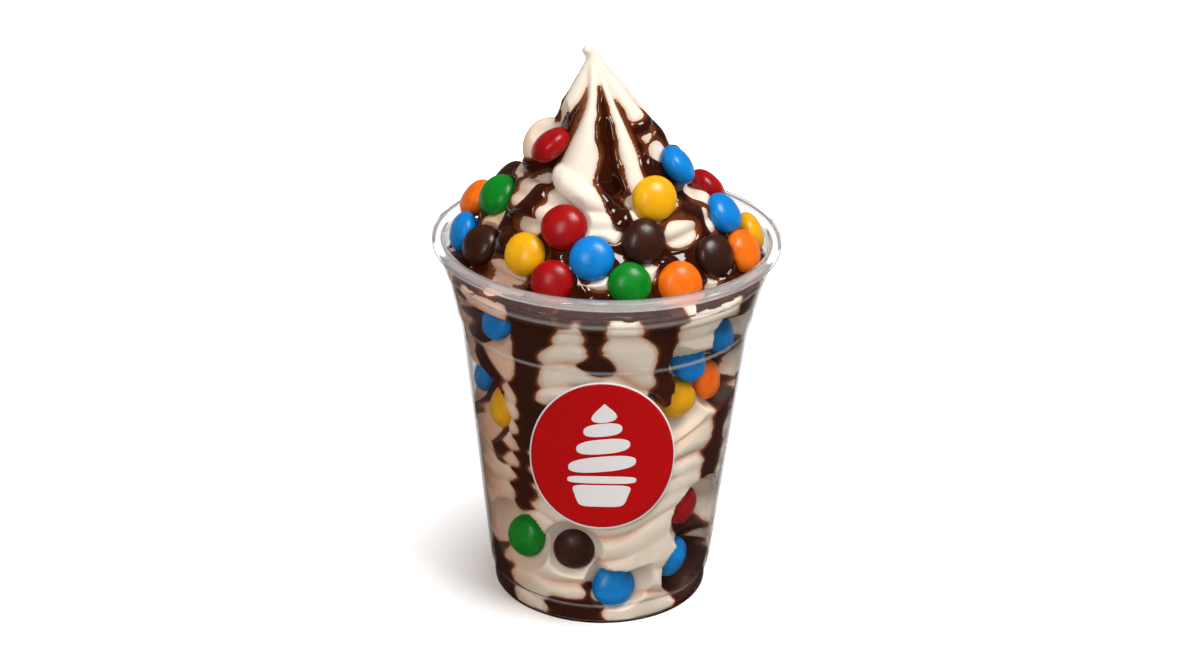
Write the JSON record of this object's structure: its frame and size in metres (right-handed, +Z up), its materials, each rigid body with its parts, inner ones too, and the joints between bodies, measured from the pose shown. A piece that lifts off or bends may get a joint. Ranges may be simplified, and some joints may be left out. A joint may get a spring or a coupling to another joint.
{
  "type": "soft serve sundae in a clear cup",
  "caption": "Vanilla soft serve swirled up to a point in a clear plastic cup, with chocolate sauce run down its grooves and candy-coated chocolate drops on the heap and against the wall.",
  "frame": {"origin": "centre of the cup's foot, on the surface that it stands on", "axes": "+Z up along the cup's axis, -Y towards the front, +X to the viewer's right"},
  "size_m": [0.098, 0.098, 0.1638],
  "materials": {
    "cup": "clear thermoformed plastic, smooth and glossy",
    "soft_serve": "vanilla soft serve, smooth and moist, warm white",
    "sauce": "dark chocolate sauce, thick and glossy, with brown edges where it is thin",
    "print": "plain red printed disc with a thin white outline on the cup's front",
    "candy_red": "red sugar shell, satin, slightly mottled, with no lettering",
    "candy_blue": "blue sugar shell, satin, slightly mottled, with no lettering",
    "candy_yellow": "yellow sugar shell, satin, slightly mottled, with no lettering",
    "candy_green": "green sugar shell, satin, slightly mottled, with no lettering",
    "candy_orange": "orange sugar shell, satin, slightly mottled, with no lettering",
    "candy_brown": "brown sugar shell, satin, slightly mottled, with no lettering"
  },
  "bodies": {
    "root": {"candy_01_red": "candy_red", "candy_02_blue": "candy_blue", "candy_03_yellow": "candy_yellow", "candy_04_red": "candy_red", "candy_05_green": "candy_green", "candy_06_orange": "candy_orange", "candy_07_blue": "candy_blue", "candy_08_brown": "candy_brown", "candy_09_brown": "candy_brown", "candy_10_yellow": "candy_yellow", "candy_11_red": "candy_red", "candy_12_red": "candy_red", "candy_13_blue": "candy_blue", "candy_14_brown": "candy_brown", "candy_15_green": "candy_green", "candy_16_orange": "candy_orange", "candy_17_brown": "candy_brown", "candy_18_blue": "candy_blue", "candy_19_orange": "candy_orange", "candy_20_yellow": "candy_yellow", "candy_21_green": "candy_green", "candy_22_brown": "candy_brown", "candy_23_red": "candy_red", "candy_24_yellow": "candy_yellow", "candy_25_blue": "candy_blue", "candy_26_orange": "candy_orange", "candy_27_green": "candy_green", "candy_28_brown": "candy_brown", "candy_29_blue": "candy_blue", "candy_30_blue": "candy_blue", "candy_31_yellow": "candy_yellow", "candy_32_green": "candy_green", "candy_33_brown": "candy_brown", "candy_34_blue": "candy_blue", "candy_35_blue": "candy_blue", "candy_36_red": "candy_red", "candy_37_yellow": "candy_yellow", "candy_38_orange": "candy_orange", "candy_39_yellow": "candy_yellow", "candy_40_blue": "candy_blue", "candy_41_blue": "candy_blue", "candy_42_green": "candy_green", "candy_43_orange": "candy_orange", "candy_44_red": "candy_red", "candy_45_yellow": "candy_yellow", "candy_46_blue": "candy_blue", "candy_47_orange": "candy_orange", "candy_48_green": "candy_green", "candy_49_red": "candy_red", "cup": "cup", "soft_serve": "soft_serve"}
  },
  "joints": []
}
